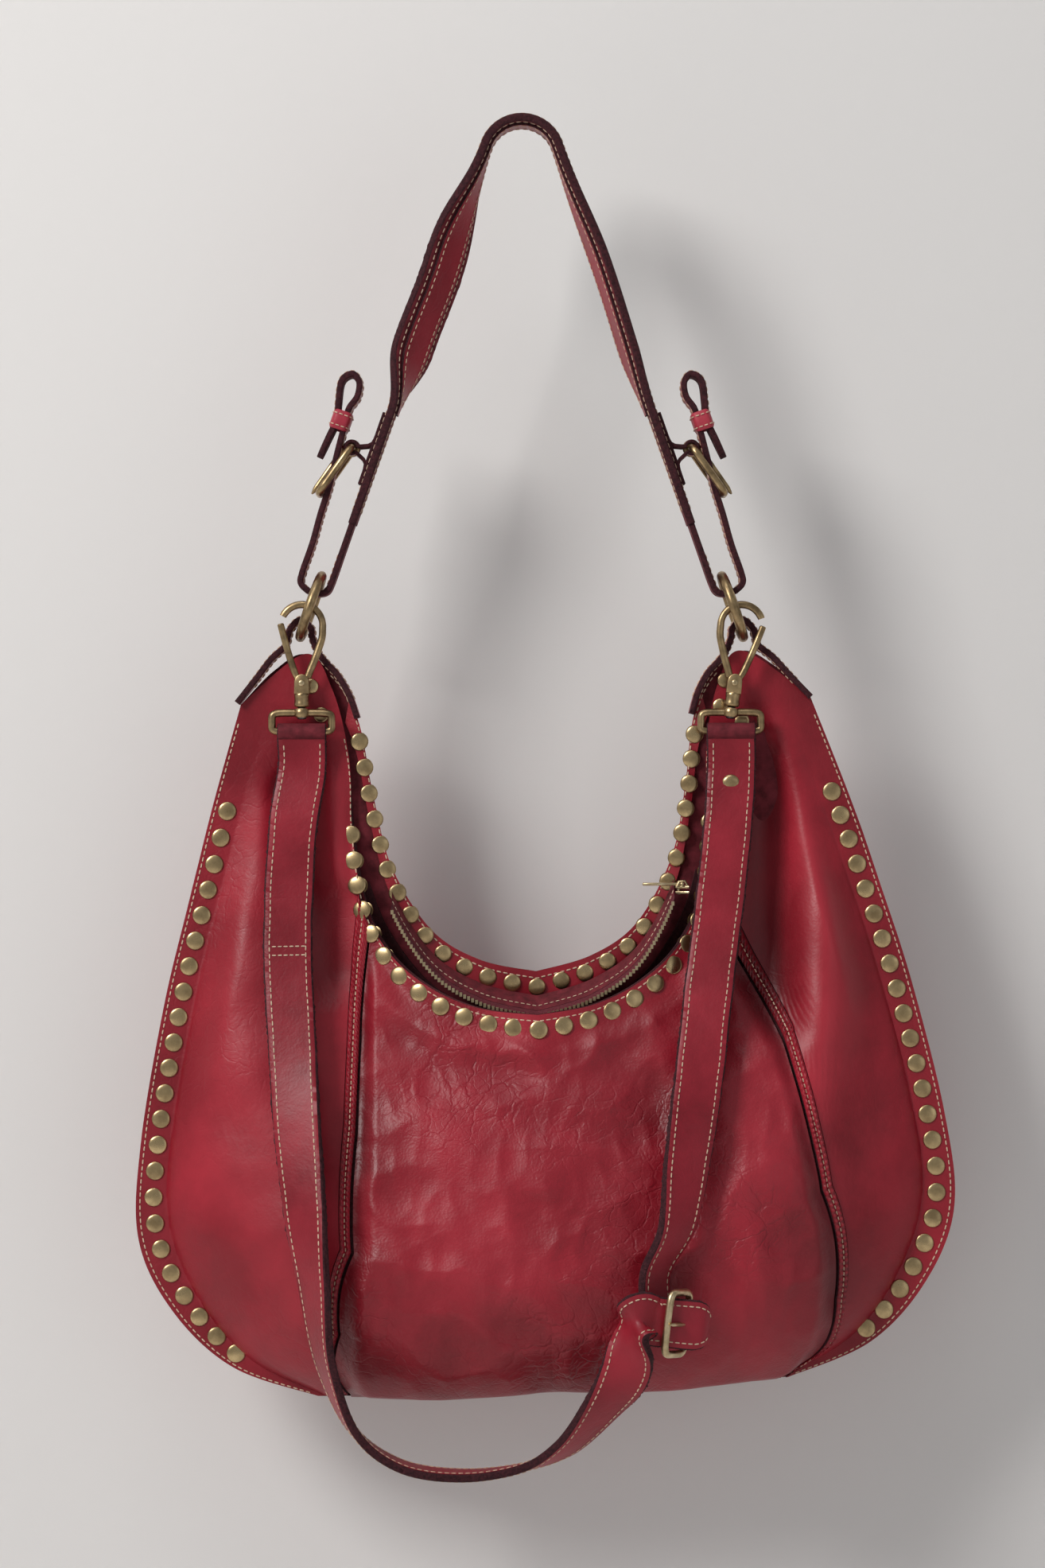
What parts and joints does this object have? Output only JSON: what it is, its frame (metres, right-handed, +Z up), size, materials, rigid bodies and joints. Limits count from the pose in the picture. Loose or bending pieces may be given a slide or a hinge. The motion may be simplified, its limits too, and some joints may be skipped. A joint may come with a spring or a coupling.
{
  "type": "studded hobo bag with shoulder strap and crossbody strap",
  "caption": "Soft leather hobo bag with a slung opening, domed edge studs, a buckled shoulder strap on rings and a clip-on crossbody strap hanging below.",
  "frame": {"origin": "on the axis of the peg the bag hangs from, under the apex of the shoulder strap, at the strap's mid width", "axes": "+Z up, +X to the right as seen from the front, the front panels face -Y; the peg lies along Y"},
  "size_m": [0.4114, 0.1488, 0.6788],
  "materials": {
    "leather_smooth": "smooth satin deep red leather with worn lighter ridges",
    "leather_crinkled": "crinkled glossy deep red leather",
    "leather_strap": "thick deep red leather with dark raw edges and cream stitching",
    "leather_light": "paler red leather with cream stitching",
    "leather_dark": "dark wine flesh side of the leather",
    "lining_cloth": "dark red woven lining",
    "antique_brass": "antique brass, dark in the hollows",
    "light_brass": "lighter worn brass",
    "swivel_steel": "dark steel-grey swivel",
    "zip_metal": "dull brass zip teeth and slider"
  },
  "bodies": {
    "strap": {"shoulder_strap": "leather_strap", "strap_lining": "leather_light", "strap_chape_left": "leather_strap", "strap_chape_right": "leather_strap", "strap_keeper_left": "leather_light", "strap_keeper_right": "leather_light"},
    "strap_buckle_left": {"strap_buckle_left": "antique_brass"},
    "strap_prong_left": {"strap_prong_left": "antique_brass"},
    "strap_buckle_right": {"strap_buckle_right": "antique_brass"},
    "strap_prong_right": {"strap_prong_right": "antique_brass"},
    "bag": {"ring_tab_left": "leather_strap", "ring_tab_right": "leather_strap", "tab_rivets_left": "antique_brass", "tab_rivets_right": "antique_brass", "front_panel_left": "leather_smooth", "front_panel_middle": "leather_crinkled", "front_panel_right": "leather_smooth", "welt_left": "leather_crinkled", "welt_right": "leather_crinkled", "back_panel": "leather_smooth", "lining_front": "lining_cloth", "lining_back": "lining_cloth", "mouth_band_front": "leather_dark", "mouth_band_back": "leather_dark", "side_studs_left": "antique_brass", "side_studs_right": "antique_brass", "mouth_studs_front": "antique_brass", "mouth_studs_back": "antique_brass", "zip_flange_front": "leather_light", "zip_flange_back": "leather_light", "zip_tape_front": "zip_metal", "zip_tape_back": "zip_metal", "zip_slider": "zip_metal"},
    "zip_pull": {"zip_pull": "antique_brass"},
    "ring_left": {"ring_left": "antique_brass"},
    "dee_left": {"dee_left": "antique_brass", "swivel_post_left": "swivel_steel"},
    "hook_left": {"hook_left": "antique_brass", "gate_pin_left": "antique_brass"},
    "gate_left": {"gate_left": "antique_brass"},
    "ring_right": {"ring_right": "antique_brass"},
    "dee_right": {"dee_right": "antique_brass", "swivel_post_right": "swivel_steel"},
    "hook_right": {"hook_right": "antique_brass", "gate_pin_right": "antique_brass"},
    "gate_right": {"gate_right": "antique_brass"},
    "crossbody": {"crossbody_long_strap": "leather_strap", "crossbody_short_strap": "leather_strap", "crossbody_rivet": "antique_brass", "crossbody_chape": "leather_light"},
    "crossbody_buckle": {"crossbody_buckle": "light_brass"},
    "crossbody_prong": {"crossbody_prong": "light_brass"}
  },
  "joints": [
    {"name": "bag_swing", "type": "hinge", "parent": "strap", "child": "bag", "pos_m": [0, 0, -0.225], "axis": [1, 0, 0], "range_deg": [-24, 28]},
    {"name": "buckle_left_lift", "type": "hinge", "parent": "strap", "child": "strap_buckle_left", "pos_m": [-0.08532, 0, -0.14536], "axis": [0, 1, 0], "range_deg": [0, 10]},
    {"name": "prong_left_lift", "type": "hinge", "parent": "strap_buckle_left", "child": "strap_prong_left", "pos_m": [-0.08532, 0, -0.14536], "axis": [0, 1, 0], "range_deg": [0, 8]},
    {"name": "ring_left_turn", "type": "hinge", "parent": "bag", "child": "ring_left", "pos_m": [-0.106, 0, -0.225], "axis": [0.9438, 0, -0.3304], "continuous": true},
    {"name": "buckle_right_lift", "type": "hinge", "parent": "strap", "child": "strap_buckle_right", "pos_m": [0.08532, 0, -0.14536], "axis": [0, -1, 0], "range_deg": [0, 10]},
    {"name": "prong_right_lift", "type": "hinge", "parent": "strap_buckle_right", "child": "strap_prong_right", "pos_m": [0.08532, 0, -0.14536], "axis": [0, -1, 0], "range_deg": [0, 8]},
    {"name": "ring_right_turn", "type": "hinge", "parent": "bag", "child": "ring_right", "pos_m": [0.106, 0, -0.225], "axis": [0.9438, 0, 0.3304], "continuous": true},
    {"name": "zip_pull_flip", "type": "hinge", "parent": "bag", "child": "zip_pull", "pos_m": [0.08061, -0.0049, -0.36446], "axis": [0, -1, 0], "range_deg": [-60, 0]},
    {"name": "clasp_swing_left", "type": "hinge", "parent": "bag", "child": "dee_left", "pos_m": [0, 0, -0.225], "axis": [-1, 0, 0], "range_deg": [0, 16]},
    {"name": "clasp_swing_right", "type": "hinge", "parent": "bag", "child": "dee_right", "pos_m": [0, 0, -0.225], "axis": [-1, 0, 0], "range_deg": [0, 16]},
    {"name": "hook_left_swivel", "type": "hinge", "parent": "dee_left", "child": "hook_left", "pos_m": [-0.11015, -0.012, -0.26861], "axis": [0, 0, 1], "range_deg": [0, 14]},
    {"name": "gate_left_open", "type": "hinge", "parent": "hook_left", "child": "gate_left", "pos_m": [-0.11015, -0.012, -0.26371], "axis": [0, 1, 0], "range_deg": [0, 9], "stiffness_Nm_per_rad": 0.02, "springref_deg": -28.65},
    {"name": "hook_right_swivel", "type": "hinge", "parent": "dee_right", "child": "hook_right", "pos_m": [0.10604, -0.012, -0.26836], "axis": [0.1219, 0, 0.9925], "range_deg": [-14, 0]},
    {"name": "gate_right_open", "type": "hinge", "parent": "hook_right", "child": "gate_right", "pos_m": [0.10663, -0.012, -0.2635], "axis": [0, -1, 0], "range_deg": [0, 9], "stiffness_Nm_per_rad": 0.02, "springref_deg": -28.65},
    {"name": "crossbody_swing", "type": "hinge", "parent": "dee_left", "child": "crossbody", "pos_m": [-0.11015, -0.012, -0.28811], "axis": [-1, 0, -0.0015], "range_deg": [0, 60]},
    {"name": "crossbody_buckle_tilt", "type": "hinge", "parent": "crossbody", "child": "crossbody_buckle", "pos_m": [0.08092, -0.06803, -0.5782], "axis": [0.1203, 0, 0.9927], "range_deg": [0, 4]},
    {"name": "crossbody_prong_lift", "type": "hinge", "parent": "crossbody_buckle", "child": "crossbody_prong", "pos_m": [0.08092, -0.06803, -0.5782], "axis": [0.1203, 0, 0.9927], "range_deg": [0, 14]}
  ],
  "couplings": [
    {"joint": "clasp_swing_right", "follows": "clasp_swing_left", "ratio": 1}
  ]
}
